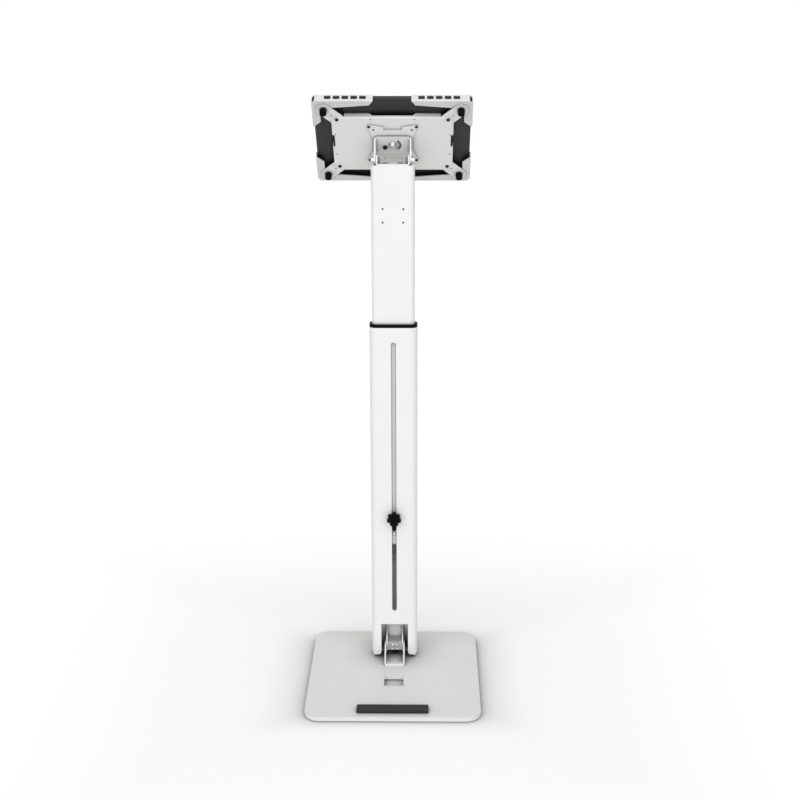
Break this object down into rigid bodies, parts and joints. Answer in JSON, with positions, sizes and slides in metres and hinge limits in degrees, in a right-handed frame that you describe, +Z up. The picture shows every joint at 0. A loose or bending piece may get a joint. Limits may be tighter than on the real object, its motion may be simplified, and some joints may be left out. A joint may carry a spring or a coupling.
{
  "type": "tablet floor stand",
  "caption": "Floor stand with a square weighted base, fold-down telescopic mast, tilting and turning head and corner clamps round a tablet.",
  "frame": {"origin": "on the floor under the middle of the square base", "axes": "+Z up, +X to the right as seen from the back of the tablet, +Y towards the person who uses the screen"},
  "size_m": [0.36, 0.3655, 1.2248],
  "materials": {
    "powder_white": "white powder coat, fine satin texture",
    "plastic_white": "moulded white plastic, satin",
    "plastic_black": "moulded black plastic, fine grain",
    "steel_zinc": "bright zinc plate",
    "steel_black": "black oxide",
    "rubber_black": "solid black rubber, matt",
    "slate_shell": "dark grey anodised",
    "slate_glass": "polished, dark"
  },
  "bodies": {
    "base": {"base_plate": "powder_white", "base_feet": "rubber_black", "rest_pad": "rubber_black", "base_bracket": "powder_white", "bracket_screws": "steel_zinc", "hinge_pin": "steel_black", "hinge_nut": "steel_black"},
    "mast": {"mast_bracket": "powder_white", "hinge_block": "steel_zinc", "block_screws": "steel_zinc", "lower_column": "powder_white", "mast_screws": "steel_zinc", "column_collar": "plastic_black"},
    "upper_mast": {"upper_column": "powder_white", "lower_glide": "plastic_black", "nut_plate": "steel_zinc", "slot_guide": "plastic_black", "guide_screw": "steel_zinc", "top_plug": "plastic_white", "neck_bracket": "powder_white", "neck_screws": "steel_black", "tilt_bolts": "steel_zinc", "tilt_nuts": "steel_black"},
    "height_lock": {"lock_knob": "plastic_black", "lock_stud": "steel_zinc", "lock_washer": "steel_zinc"},
    "yoke": {"tilt_bracket": "powder_white", "turn_bolt": "steel_zinc", "turn_nut": "steel_zinc", "turn_lock_screw": "steel_black"},
    "holder": {"turn_plate": "powder_white", "friction_disc": "plastic_black", "stop_pin": "steel_zinc", "plate_screws": "steel_black", "back_tray": "powder_white", "tablet_shell": "slate_shell", "tablet_glass": "slate_glass", "tray_pads": "rubber_black", "tray_screws": "steel_black", "tray_nuts": "steel_zinc"},
    "corner_tl": {"clamp_tl": "powder_white", "arm_tl": "powder_white", "clamp_pad_tl": "rubber_black", "clamp_nut_tl": "steel_zinc"},
    "thumb_tl": {"thumb_knob_tl": "plastic_black"},
    "corner_tr": {"clamp_tr": "powder_white", "arm_tr": "powder_white", "clamp_pad_tr": "rubber_black", "clamp_nut_tr": "steel_zinc"},
    "thumb_tr": {"thumb_knob_tr": "plastic_black"},
    "corner_bl": {"clamp_bl": "powder_white", "arm_bl": "powder_white", "clamp_pad_bl": "rubber_black", "clamp_nut_bl": "steel_zinc"},
    "thumb_bl": {"thumb_knob_bl": "plastic_black"},
    "corner_br": {"clamp_br": "powder_white", "arm_br": "powder_white", "clamp_pad_br": "rubber_black", "clamp_nut_br": "steel_zinc"},
    "thumb_br": {"thumb_knob_br": "plastic_black"}
  },
  "joints": [
    {"name": "mast_fold", "type": "hinge", "parent": "base", "child": "mast", "pos_m": [0, 0.0785, 0.035], "axis": [1, 0, 0], "range_deg": [0, 90]},
    {"name": "mast_height", "type": "slide", "parent": "mast", "child": "upper_mast", "axis": [0, 0, 1], "range_m": [-0.17, 0.36]},
    {"name": "height_lock_turn", "type": "hinge", "parent": "upper_mast", "child": "height_lock", "pos_m": [0, 0.05, 0.343], "axis": [0, -1, 0], "range_deg": [0, 360]},
    {"name": "head_tilt", "type": "hinge", "parent": "upper_mast", "child": "yoke", "pos_m": [0, 0.0785, 1.096], "axis": [1, 0, 0], "range_deg": [-39, 41]},
    {"name": "head_turn", "type": "hinge", "parent": "yoke", "child": "holder", "pos_m": [0, 0.09722, 1.12532], "axis": [0, -0.7771, -0.6293], "range_deg": [0, 90]},
    {"name": "corner_tl_slide", "type": "slide", "parent": "holder", "child": "corner_tl", "axis": [-0.7071, -0.445, 0.5495], "range_m": [0, 0.015]},
    {"name": "thumb_tl_turn", "type": "hinge", "parent": "corner_tl", "child": "thumb_tl", "pos_m": [-0.1327, 0.04172, 1.19386], "axis": [0, -0.7771, -0.6293], "range_deg": [0, 360]},
    {"name": "corner_tr_slide", "type": "slide", "parent": "holder", "child": "corner_tr", "axis": [0.7071, -0.445, 0.5495], "range_m": [0, 0.015]},
    {"name": "thumb_tr_turn", "type": "hinge", "parent": "corner_tr", "child": "thumb_tr", "pos_m": [0.1327, 0.04172, 1.19386], "axis": [0, -0.7771, -0.6293], "range_deg": [0, 360]},
    {"name": "corner_bl_slide", "type": "slide", "parent": "holder", "child": "corner_bl", "axis": [-0.7071, 0.445, -0.5495], "range_m": [0, 0.015]},
    {"name": "thumb_bl_turn", "type": "hinge", "parent": "corner_bl", "child": "thumb_bl", "pos_m": [-0.1327, 0.15462, 1.05444], "axis": [0, -0.7771, -0.6293], "range_deg": [0, 360]},
    {"name": "corner_br_slide", "type": "slide", "parent": "holder", "child": "corner_br", "axis": [0.7071, 0.445, -0.5495], "range_m": [0, 0.015]},
    {"name": "thumb_br_turn", "type": "hinge", "parent": "corner_br", "child": "thumb_br", "pos_m": [0.1327, 0.15462, 1.05444], "axis": [0, -0.7771, -0.6293], "range_deg": [0, 360]}
  ]
}
